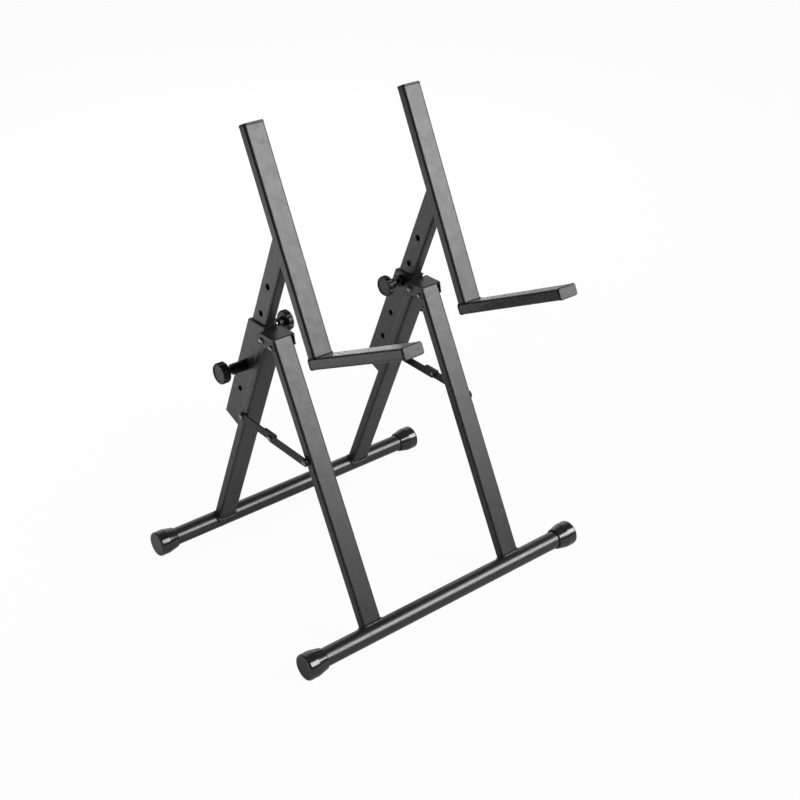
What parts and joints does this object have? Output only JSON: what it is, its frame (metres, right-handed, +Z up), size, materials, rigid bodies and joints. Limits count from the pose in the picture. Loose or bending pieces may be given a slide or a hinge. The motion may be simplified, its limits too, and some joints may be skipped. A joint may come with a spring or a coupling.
{
  "type": "folding tilt-back amplifier stand",
  "caption": "Folding A-frame stand of black steel tube with sliding L-shaped rests that hold an amplifier tilted back, set by pin locks and clamp knobs.",
  "frame": {"origin": "middle of the footprint, on the floor", "axes": "+X along the base tubes towards the right as seen from the front, +Y towards the back, +Z up; the load rests on the -Y side"},
  "size_m": [0.484, 0.459, 0.6638],
  "materials": {
    "frame_paint": "satin black powder coat",
    "plug_plastic": "black moulded plugs, matte",
    "foot_plastic": "black moulded caps, half gloss",
    "knob_plastic": "black moulded knobs, fine grain",
    "guide_plastic": "black moulded guides, matte",
    "rivets": "black zinc plate, half gloss",
    "zinc": "bright zinc plate"
  },
  "bodies": {
    "rear_frame": {"rear_base_tube": "frame_paint", "left_rear_cap": "foot_plastic", "left_rear_leg": "frame_paint", "left_mast_sleeve": "frame_paint", "left_upper_guide": "guide_plastic", "left_lower_guide": "guide_plastic", "left_lock_barrel": "frame_paint", "left_clamp_nut": "frame_paint", "left_hinge_rivet": "rivets", "left_stay_rear_rivet": "rivets", "right_rear_cap": "foot_plastic", "right_rear_leg": "frame_paint", "right_mast_sleeve": "frame_paint", "right_upper_guide": "guide_plastic", "right_lower_guide": "guide_plastic", "right_lock_barrel": "frame_paint", "right_clamp_nut": "frame_paint", "right_hinge_rivet": "rivets", "right_stay_rear_rivet": "rivets"},
    "front_frame": {"front_base_tube": "frame_paint", "left_front_cap": "foot_plastic", "left_front_leg": "frame_paint", "left_hinge_bracket": "frame_paint", "left_bracket_rivet": "rivets", "right_front_cap": "foot_plastic", "right_front_leg": "frame_paint", "right_hinge_bracket": "frame_paint", "right_bracket_rivet": "rivets"},
    "left_rest": {"left_mast": "frame_paint", "left_mast_plug": "plug_plastic", "left_upright": "frame_paint", "left_upright_plug": "plug_plastic", "left_support_arm": "frame_paint", "left_arm_front_plug": "plug_plastic", "left_arm_rear_plug": "plug_plastic"},
    "left_stay_rear": {"left_stay_rear_bar": "frame_paint", "left_stay_middle_rivet": "rivets"},
    "left_stay_front": {"left_stay_front_bar": "frame_paint", "left_stay_front_rivet": "rivets"},
    "left_lock": {"left_lock_pin": "zinc", "left_lock_knob": "knob_plastic"},
    "left_clamp": {"left_clamp_bolt": "zinc", "left_clamp_knob": "knob_plastic"},
    "right_rest": {"right_mast": "frame_paint", "right_mast_plug": "plug_plastic", "right_upright": "frame_paint", "right_upright_plug": "plug_plastic", "right_support_arm": "frame_paint", "right_arm_front_plug": "plug_plastic", "right_arm_rear_plug": "plug_plastic"},
    "right_stay_rear": {"right_stay_rear_bar": "frame_paint", "right_stay_middle_rivet": "rivets"},
    "right_stay_front": {"right_stay_front_bar": "frame_paint", "right_stay_front_rivet": "rivets"},
    "right_lock": {"right_lock_pin": "zinc", "right_lock_knob": "knob_plastic"},
    "right_clamp": {"right_clamp_bolt": "zinc", "right_clamp_knob": "knob_plastic"}
  },
  "joints": [
    {"name": "fold", "type": "hinge", "parent": "rear_frame", "child": "front_frame", "pos_m": [0, 0.0585, 0.3771], "axis": [1, 0, 0], "range_deg": [0, 48.5]},
    {"name": "left_mast_slide", "type": "slide", "parent": "rear_frame", "child": "left_rest", "axis": [0, -0.3867, 0.9222], "range_m": [-0.048, 0.096]},
    {"name": "left_stay_rear_pivot", "type": "hinge", "parent": "rear_frame", "child": "left_stay_rear", "pos_m": [-0.1257, 0.11689, 0.23784], "axis": [1, 0, 0], "range_deg": [-35.03, 0]},
    {"name": "left_stay_middle_pivot", "type": "hinge", "parent": "left_stay_rear", "child": "left_stay_front", "pos_m": [-0.1257, 0.04691, 0.23604], "axis": [1, 0, 0], "range_deg": [0, 162.33]},
    {"name": "left_lock_slide", "type": "slide", "parent": "rear_frame", "child": "left_lock", "axis": [1, 0, 0], "range_m": [0, 0.0077]},
    {"name": "left_clamp_turn", "type": "hinge", "parent": "rear_frame", "child": "left_clamp", "pos_m": [-0.0907, 0.08306, 0.37981], "axis": [1, 0, 0], "continuous": true},
    {"name": "right_mast_slide", "type": "slide", "parent": "rear_frame", "child": "right_rest", "axis": [0, -0.3867, 0.9222], "range_m": [-0.048, 0.096]},
    {"name": "right_stay_rear_pivot", "type": "hinge", "parent": "rear_frame", "child": "right_stay_rear", "pos_m": [0.1257, 0.11689, 0.23784], "axis": [1, 0, 0], "range_deg": [-35.03, 0]},
    {"name": "right_stay_middle_pivot", "type": "hinge", "parent": "right_stay_rear", "child": "right_stay_front", "pos_m": [0.1257, 0.04691, 0.23604], "axis": [1, 0, 0], "range_deg": [0, 162.33]},
    {"name": "right_lock_slide", "type": "slide", "parent": "rear_frame", "child": "right_lock", "axis": [-1, 0, 0], "range_m": [0, 0.0077]},
    {"name": "right_clamp_turn", "type": "hinge", "parent": "rear_frame", "child": "right_clamp", "pos_m": [0.0907, 0.08306, 0.37981], "axis": [-1, 0, 0], "continuous": true}
  ],
  "couplings": [
    {"joint": "left_stay_rear_pivot", "follows": "fold", "ratio": -0.71199},
    {"joint": "left_stay_middle_pivot", "follows": "fold", "ratio": 3.3368},
    {"joint": "right_stay_rear_pivot", "follows": "fold", "ratio": -0.71199},
    {"joint": "right_stay_middle_pivot", "follows": "fold", "ratio": 3.3368}
  ]
}
